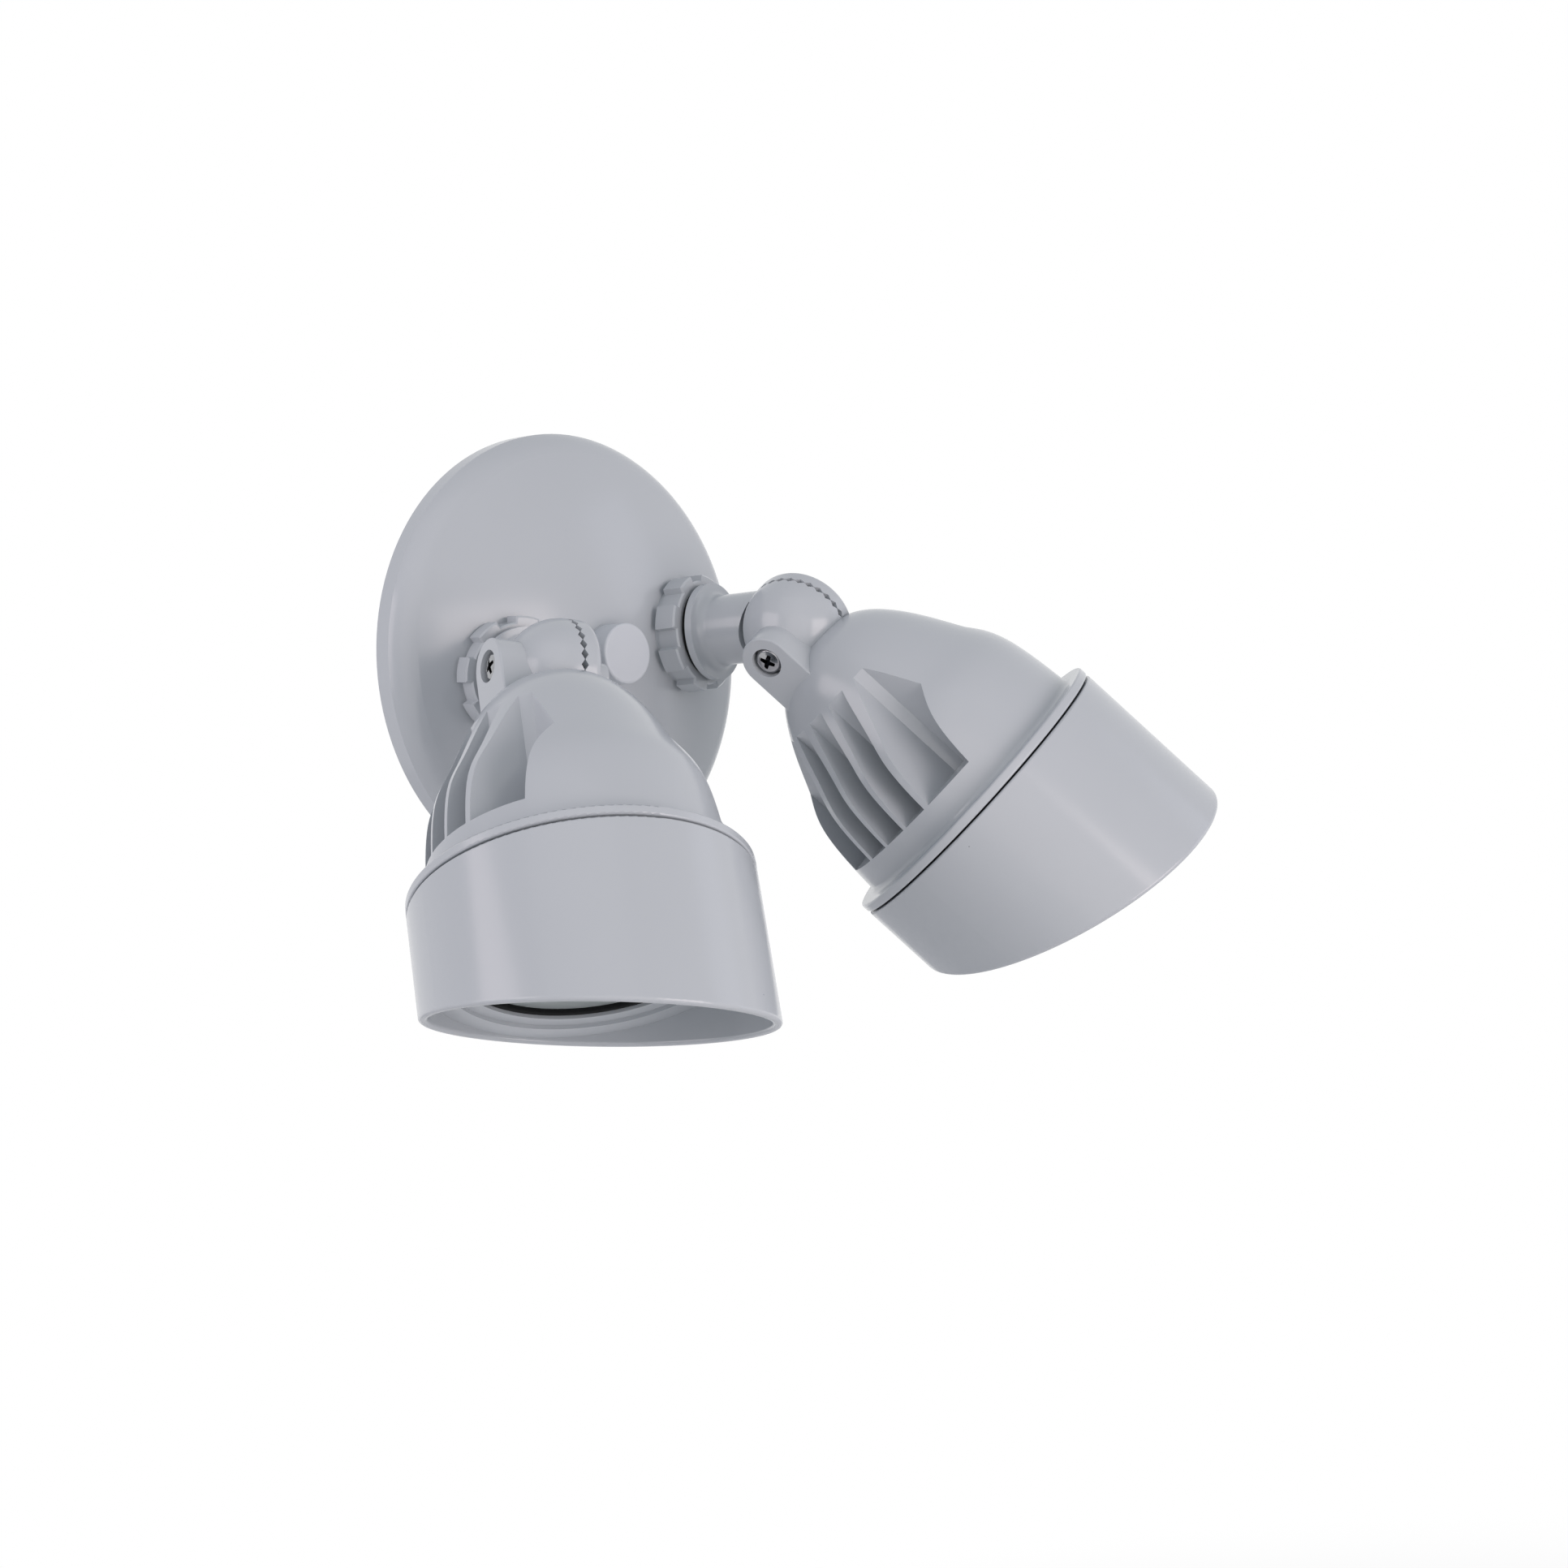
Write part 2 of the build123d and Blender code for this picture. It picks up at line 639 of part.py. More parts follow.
# Lens and its black ring, light engine, reflector and driver
def make_light_engine(lamp):
    with BuildPart() as lens:
        with BuildSketch(lamp.aim.offset(lens_seat)):
            Circle(lens_bore_radius - fit_clearance)
        extrude(amount=lens_thickness)
    save(lens, f"lens_{lamp.name}")

    with BuildPart() as lens_gasket:
        with BuildSketch(lamp.aim.offset(lens_front)):
            Circle(lens_bore_radius - fit_clearance)
            Circle(lens_gasket_inner_radius, mode=Mode.SUBTRACT)
        extrude(amount=lens_gasket_thickness)
    save(lens_gasket, f"lens_gasket_{lamp.name}")

    with BuildPart() as led_board:
        with BuildSketch(lamp.aim.offset(board_shelf)):
            Circle(spigot_inner_radius - board_margin)
            with GridLocations(0, 2 * board_screw_offset, 1, 2):
                Circle(board_screw_radius + fit_clearance, mode=Mode.SUBTRACT)
        extrude(amount=board_thickness)
    save(led_board, f"led_board_{lamp.name}")

    with BuildPart() as led_array:
        with BuildSketch(lamp.aim.offset(board_front)):
            Circle(emitter_radius)
        extrude(amount=emitter_thickness)
    save(led_array, f"led_array_{lamp.name}")

    with BuildPart() as board_screws:
        with BuildSketch(lamp.aim.offset(board_front)):
            with GridLocations(0, 2 * board_screw_offset, 1, 2):
                Circle(board_screw_head_radius)
        extrude(amount=board_screw_head_height)
        with BuildSketch(lamp.aim.offset(board_front)):
            with GridLocations(0, 2 * board_screw_offset, 1, 2):
                Circle(board_screw_radius)
        extrude(amount=-board_screw_length)
    save(board_screws, f"board_screws_{lamp.name}")

    mouth = lens_seat - lens_seat_thickness - fit_clearance
    middle = ((reflector_throat_radius + reflector_mouth_radius) / 2 + reflector_bulge, (board_front + mouth) / 2)
    with BuildPart() as reflector:
        with BuildSketch(section(lamp.aim)):
            with BuildLine():
                ThreePointArc((reflector_throat_radius, board_front), middle, (reflector_mouth_radius, mouth))
                Polyline(
                    (reflector_mouth_radius, mouth),
                    (reflector_mouth_radius + reflector_rim + reflector_wall, mouth),
                    (reflector_mouth_radius + reflector_rim + reflector_wall, mouth - reflector_wall),
                    (reflector_mouth_radius + reflector_wall, mouth - reflector_wall),
                )
                ThreePointArc(
                    (reflector_mouth_radius + reflector_wall, mouth - reflector_wall),
                    (middle[0] + reflector_wall, middle[1] - reflector_wall / 2),
                    (reflector_throat_radius + reflector_wall, board_front),
                )
                Line((reflector_throat_radius + reflector_wall, board_front), (reflector_throat_radius, board_front))
            make_face()
        revolve(axis=axis_of(lamp.aim))
    save(reflector, f"reflector_{lamp.name}")

    with BuildPart() as driver:
        with BuildSketch(lamp.aim.offset(driver_bay_start)):
            RectangleRounded(driver_depth, driver_width, driver_corner)
        extrude(amount=driver_length)
    save(driver, f"driver_{lamp.name}")


os.makedirs("parts", exist_ok=True)
lamps = (
    place_lamp("left", -1, left_pan, left_droop),
    place_lamp("right", 1, right_pan, right_droop),
)
make_canopy(lamps)
make_wall_fixings()
tooth_notch = make_tooth_notch()
for lamp in lamps:
    make_stem_rings(lamp)
    make_arm(lamp, tooth_notch)
    make_knuckle_fittings(lamp)
    make_housing(lamp, tooth_notch)
    make_visor(lamp)
    make_light_engine(lamp)
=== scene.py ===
"""Twin-head outdoor floodlight: finishes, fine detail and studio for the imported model."""

import logging
from collections.abc import Iterable
from dataclasses import dataclass
from enum import Enum

import bmesh
import bpy
import numpy as np
from mathutils import Matrix


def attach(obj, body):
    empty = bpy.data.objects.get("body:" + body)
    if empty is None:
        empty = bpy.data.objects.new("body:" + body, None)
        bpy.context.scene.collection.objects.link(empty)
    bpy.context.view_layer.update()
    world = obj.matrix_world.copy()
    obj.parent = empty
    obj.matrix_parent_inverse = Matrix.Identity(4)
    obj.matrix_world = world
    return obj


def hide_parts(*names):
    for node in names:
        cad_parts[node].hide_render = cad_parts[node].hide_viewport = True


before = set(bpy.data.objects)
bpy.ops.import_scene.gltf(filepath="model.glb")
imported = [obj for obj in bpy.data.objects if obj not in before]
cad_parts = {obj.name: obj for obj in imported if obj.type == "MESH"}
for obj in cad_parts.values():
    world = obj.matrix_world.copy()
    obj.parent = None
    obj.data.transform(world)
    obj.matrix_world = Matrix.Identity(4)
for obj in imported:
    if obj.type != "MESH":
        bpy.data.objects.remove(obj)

LOG = logging.getLogger("floodlight")
MM = 0.001
FRAME_PIXELS = 1932
THREAD_ROWS = 8
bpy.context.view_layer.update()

Array = np.ndarray
NodeInput = dict[str | int, object]


class Side(Enum):
    """The two lamps; the value is the sign of X on which each one hangs."""

    LEFT = -1
    RIGHT = 1

    @property
    def word(self) -> str:
        """Name of the side as the model's nodes and bodies spell it."""
        return self.name.lower()


# Small tools: colour, nodes and meshes


def to_linear(colour: str) -> tuple[float, float, float, float]:
    """Turn an sRGB hex colour into linear red, green, blue and full alpha.

    Args:
        colour: Colour such as "#B4B5BC".

    Returns:
        Linear components, each from 0 to 1, with alpha 1.
    """
    srgb = np.array([int(colour[i : i + 2], 16) for i in (1, 3, 5)]) / 255.0
    linear = np.where(srgb <= 0.04045, srgb / 12.92, ((srgb + 0.055) / 1.055) ** 2.4)
    return (*linear.tolist(), 1.0)


def add_node(
    tree: bpy.types.NodeTree, kind: str, inputs: NodeInput | None = None, **settings: object
) -> bpy.types.Node:
    """Add one node, give it its settings, and set or link its inputs.

    Args:
        tree: Node tree that takes the node.
        kind: Blender's type name of the node.
        inputs: Value or output socket for each input, by name or number.
        settings: Properties of the node itself.

    Returns:
        The new node.
    """
    node = tree.nodes.new(kind)
    for name, value in settings.items():
        setattr(node, name, value)
    for key, value in (inputs or {}).items():
        if isinstance(value, bpy.types.NodeSocket):
            tree.links.new(value, node.inputs[key])
        else:
            node.inputs[key].default_value = value
    return node


def new_material(name: str) -> tuple[bpy.types.Material, bpy.types.NodeTree]:
    """Start an empty node material.

    Args:
        name: What the real material is.

    Returns:
        The material and its empty node tree.
    """
    material = bpy.data.materials.new(name)
    material.use_nodes = True
    material.node_tree.nodes.clear()
    return material, material.node_tree


def close_surface(name: str, *patches: Array, sharp_angle: float = 40.0) -> bpy.types.Object:
    """Join grids of points into one closed, smooth-shaded mesh object.

    Every patch is an array (rows, columns, 3) in metres. Neighbouring points make
    quads; points that meet at seams and poles are merged, and faces point outwards.

    Args:
        name: Name of the object.
        patches: Grids of points.
        sharp_angle: Edges that turn more than this many degrees stay sharp.

    Returns:
        The object, at the origin, linked to the scene.
    """
    points, quads, start = [], [], 0
    for patch in patches:
        rows, columns = patch.shape[:2]
        index = np.arange(rows * columns).reshape(rows, columns) + start
        quads.append(
            np.stack([index[:-1, :-1], index[1:, :-1], index[1:, 1:], index[:-1, 1:]], -1).reshape(-1, 4)
        )
        points.append(patch.reshape(-1, 3))
        start += rows * columns
    mesh = bpy.data.meshes.new(name)
    mesh.from_pydata(np.concatenate(points).tolist(), [], np.concatenate(quads).tolist())
    work = bmesh.new()
    work.from_mesh(mesh)
    bmesh.ops.remove_doubles(work, verts=work.verts, dist=1e-6)
    bmesh.ops.dissolve_degenerate(work, edges=work.edges, dist=1e-7)
    bmesh.ops.recalc_face_normals(work, faces=work.faces)
    work.to_mesh(mesh)
    work.free()
    mesh.shade_smooth()
    mesh.set_sharp_from_angle(angle=np.radians(sharp_angle))
    thing = bpy.data.objects.new(name, mesh)
    bpy.context.scene.collection.objects.link(thing)
    return thing


def turned(profile: Array, steps: int = 128) -> Array:
    """Carry a profile round the z axis.

    Point (i, j) is (r_i cos t_j, r_i sin t_j, z_i), with t from 0 to a full turn.

    Args:
        profile: Radius and height of each point of the profile, shape (n, 2).
        steps: Steps round the turn.

    Returns:
        Grid of points, shape (n, steps + 1, 3).
    """
    turn = np.linspace(0, 2 * np.pi, steps + 1)[None, :]
    radius = profile[:, :1]
    height = np.broadcast_to(profile[:, 1:], (len(profile), steps + 1))
    return np.stack([radius * np.cos(turn), radius * np.sin(turn), height], -1)


def threaded(radius: float, depth: float, pitch: float, low: float, high: float, steps: int = 36) -> Array:
    """Shank of a screw as a grid over height and turn, closed on the axis at both ends.

    Each turn of the thread has THREAD_ROWS rows of points.

    The radius is the outer one less depth times a triangle wave of z / pitch minus the
    turn; over the last pitch at each end it fades to the thread's root.

    Args:
        radius: Outer radius of the thread.
        depth: Depth of the thread.
        pitch: Rise in one turn.
        low: Height of the tip.
        high: Height of the other end.
        steps: Steps round the turn.

    Returns:
        Grid of points, shape (rows, steps + 1, 3).
    """
    height = np.linspace(low, high, int((high - low) / pitch * THREAD_ROWS) + 1)[:, None]
    turn = np.linspace(0, 1, steps + 1)[None, :]
    wave = np.abs(((height / pitch - turn) % 1.0) * 2 - 1)
    fade = np.clip(np.minimum(height - low, high - height) / pitch, 0, 1)
    across = radius - depth * (1 - fade * (1 - wave))
    body = np.stack(
        [
            across * np.cos(2 * np.pi * turn),
            across * np.sin(2 * np.pi * turn),
            np.broadcast_to(height, across.shape),
        ],
        -1,
    )
    ends = body[[0, -1]] * [0, 0, 1]
    return np.concatenate([ends[:1], body, ends[1:]])


def about(vector: Array, axis: Array, degrees: float) -> Array:
    """Turn a vector about a unit axis by the right-hand rule.

    v cos a + (n x v) sin a + n (n . v) (1 - cos a).

    Args:
        vector: Vector to turn.
        axis: Unit axis.
        degrees: Angle.

    Returns:
        The turned vector.
    """
    angle = np.radians(degrees)
    along = axis * np.dot(axis, vector)
    return vector * np.cos(angle) + np.cross(axis, vector) * np.sin(angle) + along * (1 - np.cos(angle))


def dress(names: Iterable[str], material: bpy.types.Material) -> None:
    """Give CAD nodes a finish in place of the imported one.

    Args:
        names: Names of the nodes.
        material: Finish for all of them.
    """
    for name in names:
        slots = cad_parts[name].data.materials
        slots.clear()
        slots.append(material)
        LOG.info("%s: %s", name, material.name)


def fit(piece: bpy.types.Object, body: str, slot: str, material: bpy.types.Material, *nodes: str) -> None:
    """Give a new piece its finish, the body that carries it and the nodes it stands for.

    Args:
        piece: Finished object.
        body: Body that it rides on.
        slot: Material slot of the record; not used.
        material: Finish.
        nodes: CAD nodes that it replaces.
    """
    piece.data.materials.append(material)
    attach(piece, body)
    if nodes:
        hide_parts(*nodes)
    LOG.info("%s rides on %s: %s", piece.name, body, material.name)


# Finishes


@dataclass(frozen=True)
class Finish:
    """What every finish has: a real name, two close tones, gloss and a fine relief.

    The two tones drift into each other over cloud_mm, and the roughness drifts with
    them by gloss_drift. The relief has grains of grain_mm that stand relief_mm high.
    A specular of 0.5 is what the material's IOR gives; a dusty surface has less.
    """

    name: str
    colour: str
    shade: str
    roughness: float
    metallic: float = 0.0
    gloss_drift: float = 0.03
    cloud_mm: float = 40.0
    grain_mm: float = 1.0
    relief_mm: float = 0.004
    specular: float = 0.5

    def surface(self, tree: bpy.types.NodeTree) -> bpy.types.Node:
        """Add the shader with its drifting tone and gloss and its relief.

        Args:
            tree: Node tree of the material.

        Returns:
            The shader node.
        """
        place = add_node(tree, "ShaderNodeTexCoord").outputs["Object"]
        cloud = add_node(
            tree, "ShaderNodeTexNoise", {"Vector": place, "Scale": 1 / (self.cloud_mm * MM), "Detail": 2.0}
        ).outputs["Fac"]
        tone = add_node(
            tree,
            "ShaderNodeMix",
            {0: cloud, 6: to_linear(self.shade), 7: to_linear(self.colour)},
            data_type="RGBA",
        )
        gloss = add_node(
            tree,
            "ShaderNodeMapRange",
            {
                "Value": cloud,
                "To Min": self.roughness - self.gloss_drift,
                "To Max": self.roughness + self.gloss_drift,
            },
        )
        grain = add_node(
            tree, "ShaderNodeTexNoise", {"Vector": place, "Scale": 1 / (self.grain_mm * MM), "Detail": 1.0}
        )
        relief = add_node(
            tree,
            "ShaderNodeBump",
            {"Height": grain.outputs["Fac"], "Distance": self.relief_mm * MM, "Strength": 1.0},
        )
        return add_node(
            tree,
            "ShaderNodeBsdfPrincipled",
            {
                "Base Color": tone.outputs[2],
                "Roughness": gloss.outputs["Result"],
                "Metallic": self.metallic,
                "Specular IOR Level": self.specular,
                "Normal": relief.outputs["Normal"],
            },
        )

    def cover(
        self, tree: bpy.types.NodeTree, shader: bpy.types.Node, mask: bpy.types.NodeSocket, colour: str
    ) -> None:
        """Lay a second colour over the shader's tone where a mask is high.

        Args:
            tree: Node tree of the material.
            shader: Shader whose tone is already linked.
            mask: Output that is 0 where the tone shows and 1 where it is covered.
            colour: Colour of the cover.
        """
        tone = shader.inputs["Base Color"].links[0].from_socket
        covered = add_node(
            tree, "ShaderNodeMix", {0: mask, 6: tone, 7: to_linear(colour)}, data_type="RGBA"
        )
        tree.links.new(covered.outputs[2], shader.inputs["Base Color"])

    def material(self) -> bpy.types.Material:
        """Build the node material.

        Returns:
            The material.
        """
        material, tree = new_material(self.name)
        add_node(tree, "ShaderNodeOutputMaterial", {"Surface": self.surface(tree).outputs["BSDF"]})
        return material


@dataclass(frozen=True)
class PowderCoat(Finish):
    """Polyester powder baked on a die casting.

    The eye sees a cool pale grey with blurred reflections, a faint orange peel, and
    now and then a speck of dust baked in, speck_mm wide.
    """

    speck: str = "#7C8086"
    speck_mm: float = 0.35
    speck_spacing_mm: float = 14.0

    def surface(self, tree: bpy.types.NodeTree) -> bpy.types.Node:
        """Add the shader, with specks over its tone.

        Args:
            tree: Node tree of the material.

        Returns:
            The shader node.
        """
        shader = super().surface(tree)
        place = add_node(tree, "ShaderNodeTexCoord").outputs["Object"]
        cells = add_node(
            tree, "ShaderNodeTexVoronoi", {"Vector": place, "Scale": 1 / (self.speck_spacing_mm * MM)}
        )
        specks = add_node(
            tree,
            "ShaderNodeMath",
            {0: cells.outputs["Distance"], 1: self.speck_mm / self.speck_spacing_mm / 2},
            operation="LESS_THAN",
        )
        self.cover(tree, shader, specks.outputs[0], self.speck)
        return shader


@dataclass(frozen=True)
class ShadePaintedSteel(Finish):
    """Bright screw head with painted shade: a near-black colour laid where the mesh's attribute is high,
    in the cross recess and round the foot of the head.
    """

    # Colour of the painted shade in the recess and round the foot of the head
    painted_shade: str = "#1D1E21"

    def surface(self, tree: bpy.types.NodeTree) -> bpy.types.Node:
        """Add the shader, with near-black painted shade where the mesh's attribute is high.

        Args:
            tree: Node tree of the material.

        Returns:
            The shader node.
        """
        shader = super().surface(tree)
        # Painted shade: the mesh's attribute lays the near-black colour into the cross recess and round
        # the foot
        mark = add_node(tree, "ShaderNodeAttribute", attribute_name="painted_shade")
        self.cover(tree, shader, mark.outputs["Fac"], self.painted_shade)
        return shader


@dataclass(frozen=True)
class EtchedGlass(Finish):
    """Tempered glass with an etched inner face: light passes, but only a grey haze is seen in it."""

    haze: float = 0.5
    ior: float = 1.52

    def surface(self, tree: bpy.types.NodeTree) -> bpy.types.Node:
        """Add the shader and let part of the light through it.

        Args:
            tree: Node tree of the material.

        Returns:
            The shader node.
        """
        shader = super().surface(tree)
        shader.inputs["Transmission Weight"].default_value = 1.0 - self.haze
        shader.inputs["IOR"].default_value = self.ior
        return shader


class Finishes(Enum):
    """Every finish on the floodlight, with what it gives the eye."""

    # A smooth cool grey that blurs the lamps into soft bands
    PAINT = PowderCoat(
        "powder_coated_cast_aluminium", "#B6BBBF", "#B3B8BC", 0.19, gloss_drift=0.01, relief_mm=0.003
    )
    # A slightly paler grey without the gloss
    PLUG = Finish("moulded_polypropylene", "#C4C9CE", "#C0C5CA", 0.42, grain_mm=0.5)
    # A soft bright grey, cloudy from rolling
    STAINLESS = Finish("rolled_stainless_steel", "#B9B8B4", "#A9A8A5", 0.24, 1.0, cloud_mm=3.0)
    # A hard white glint on the crown, with painted shade, near black, in the cross and round the foot
    SCREW = ShadePaintedSteel("cold_headed_stainless_steel", "#B4B5B7", "#8F9094", 0.15, 1.0, cloud_mm=1.5)
    # A bluish grey with small dull and bright flecks
    ZINC = Finish("zinc_plated_steel", "#B8BBBE", "#A3A7AB", 0.36, 1.0, 0.08, 6.0)
    # A dull metallic green, the mark of an earth screw
    GREEN_ZINC = Finish("green_dyed_zinc_plated_steel", "#3E8A57", "#2F6F45", 0.38, 0.8, cloud_mm=3.0)
    # A dull black that shows no lamp
    RUBBER = Finish(
        "moulded_epdm_rubber", "#121415", "#0D0F10", 0.7, grain_mm=0.4, relief_mm=0.02, specular=0.2
    )
    # A dark grey with cut cells, drawn coarser than real ones so that they show
    FOAM = Finish("closed_cell_neoprene_foam", "#35373A", "#2A2C2E", 0.9, grain_mm=0.7, relief_mm=0.2)
    # A faintly green grey veil over the inside of the lamp
    GLASS = EtchedGlass(
        "etched_tempered_glass", "#C9D2D2", "#C2CCCC", 0.4, gloss_drift=0.02, relief_mm=0.001
    )
    # A mirror with a slight wave
    REFLECTOR = Finish("vacuum_metallised_polycarbonate", "#E2E4E7", "#D9DBDF", 0.14, 1.0, relief_mm=0.01)
    # A plain satin white
    BOARD = Finish("white_solder_mask", "#E7E8E4", "#DFE0DC", 0.42, grain_mm=0.3)
    # A warm yellow, wet and slightly uneven
    PHOSPHOR = Finish("phosphor_in_silicone", "#E3B64A", "#D6A63C", 0.34, cloud_mm=2.0, grain_mm=0.4)
    # A milky white bead
    DAM = Finish("white_silicone_dam", "#EDEDE8", "#E4E4DF", 0.4)
    # A grained black with a low sheen
    CASE = Finish("moulded_black_polycarbonate", "#222427", "#1B1D1F", 0.5, grain_mm=0.5, relief_mm=0.02)


FINISH: dict[Finishes, bpy.types.Material] = {kind: kind.value.material() for kind in Finishes}


# The parts of the floodlight, in millimetres


@dataclass(frozen=True)
class LampFrame:
    """Where one lamp hangs and how it is aimed, as in the solid model."""

    side: Side
    pan: float
    droop: float
    splay: float = 15.6
    hub_offset: float = 34.9
    hub_height: float = 21.38
    stem_stack: float = 8.5
    arm_reach: float = 32.3
    axis_sideways: float = 8.7
    axis_upwards: float = 3.3

    @property
    def stem(self) -> Array:
        """Direction of the stem, away from the canopy."""
        return about(np.array([0.0, -1.0, 0.0]), np.array([0.0, 0.0, 1.0]), self.side.value * self.splay)

    @property
    def pivot_way(self) -> Array:
        """Direction of the pivot, towards the head of its screw."""
        level = about(np.array([-1.0, 0.0, 0.0]), np.array([0.0, 0.0, 1.0]), self.side.value * self.splay)
        return about(level, self.stem, self.pan)

    @property
    def aim(self) -> Array:
        """Direction in which the lamp points."""
        return about(self.stem, self.pivot_way, -self.droop)

    @property
    def pivot(self) -> Array:
        """Point where the pivot crosses the stem."""
        hub = np.array([self.side.value * self.hub_offset, -self.hub_height, 0.0])
        return hub + self.stem * (self.stem_stack + self.arm_reach)

    @property
    def axis_start(self) -> Array:
        """Point of the lamp's own axis beside the pivot."""
        upwards = np.cross(self.pivot_way, self.aim)
        return self.pivot + self.pivot_way * self.axis_sideways + upwards * self.axis_upwards

    def along_pivot(self, points: Array, reach: float) -> Array:
        """Stand points on the pivot, in metres.

        Args:
            points: Points with z along the pivot and x along the aim, in millimetres.
            reach: Distance of their origin from the stem's axis.

        Returns:
            The placed points.
        """
        basis = np.stack([self.aim, np.cross(self.pivot_way, self.aim), self.pivot_way])
        return (points @ basis + self.pivot + self.pivot_way * reach) * MM

    def from_pivot(self, points: Array, reach: float) -> Array:
        """Take placed points back to the pivot's own directions.

        Args:
            points: Points in metres.
            reach: Distance of the local origin from the stem's axis.

        Returns:
            Points with z along the pivot and x along the aim, in millimetres.
        """
        basis = np.stack([self.aim, np.cross(self.pivot_way, self.aim), self.pivot_way])
        return (points / MM - self.pivot - self.pivot_way * reach) @ basis.T

    def along_aim(self, points: Array, reach: float) -> Array:
        """Stand points on the lamp's axis, in metres.

        Args:
            points: Points with z along the aim and x along the pivot, in millimetres.
            reach: Distance of their origin from the axis start.

        Returns:
            The placed points.
        """
        basis = np.stack([self.pivot_way, np.cross(self.aim, self.pivot_way), self.aim])
        return (points @ basis + self.axis_start + self.aim * reach) * MM


@dataclass(frozen=True)
class WallParts:
    """Canopy, its seal, and the strap, bolt and screws that hold it to a junction box."""

    bolt_radius: float = 2.4
    bolt_length: float = 25.5
    bolt_pitch: float = 1.06
    thread_depth: float = 0.45
    head_radius: float = 4.4
    head_height: float = 3.2
    head_chamfer: float = 0.5
    head_overlap: float = 0.4
    head_steps: int = 96

    def bolt(self) -> bpy.types.Object:
        """Model the centre bolt: a hexagon head on a threaded shank.

        The head is a turned profile whose radius is cos 30 / cos(t mod 60 - 30) of the
        corner radius, so its outline is a hexagon; the shank is a helical thread.

        Returns:
            The bolt.
        """
        turn = np.linspace(0, 2 * np.pi, self.head_steps + 1)
        hexagon = np.cos(np.pi / 6) / np.cos(turn % (np.pi / 3) - np.pi / 6)
        low, high, cut = self.bolt_length, self.bolt_length + self.head_height, self.head_chamfer
        radius = np.array([0, self.head_radius, self.head_radius, self.head_radius - cut, 0])
        height = np.array([low, low, high - cut, high, high])
        across = radius[:, None] * hexagon[None, :]
        head = np.stack(
            [
                across * np.cos(turn),
                across * np.sin(turn),
                np.broadcast_to(height[:, None], across.shape),
            ],
            -1,
        )
        shank = threaded(
            self.bolt_radius, self.thread_depth, self.bolt_pitch, 0.0, self.bolt_length + self.head_overlap
        )
        away_from_wall = np.array([[1.0, 0, 0], [0, 0, 1.0], [0, -1.0, 0]])
        return close_surface(
            "mounting_bolt_threaded", head @ away_from_wall * MM, shank @ away_from_wall * MM
        )

    def build(self) -> None:
        """Dress the wall parts and set the bolt in place."""
        dress(["canopy"], FINISH[Finishes.PAINT])
        dress(["bolt_plug"], FINISH[Finishes.PLUG])
        dress(["canopy_gasket"], FINISH[Finishes.FOAM])
        dress(["crossbar"], FINISH[Finishes.ZINC])
        dress(["ground_screw"], FINISH[Finishes.GREEN_ZINC])
        fit(self.bolt(), "wall_base", "zinc_steel", FINISH[Finishes.ZINC], "mounting_bolt")


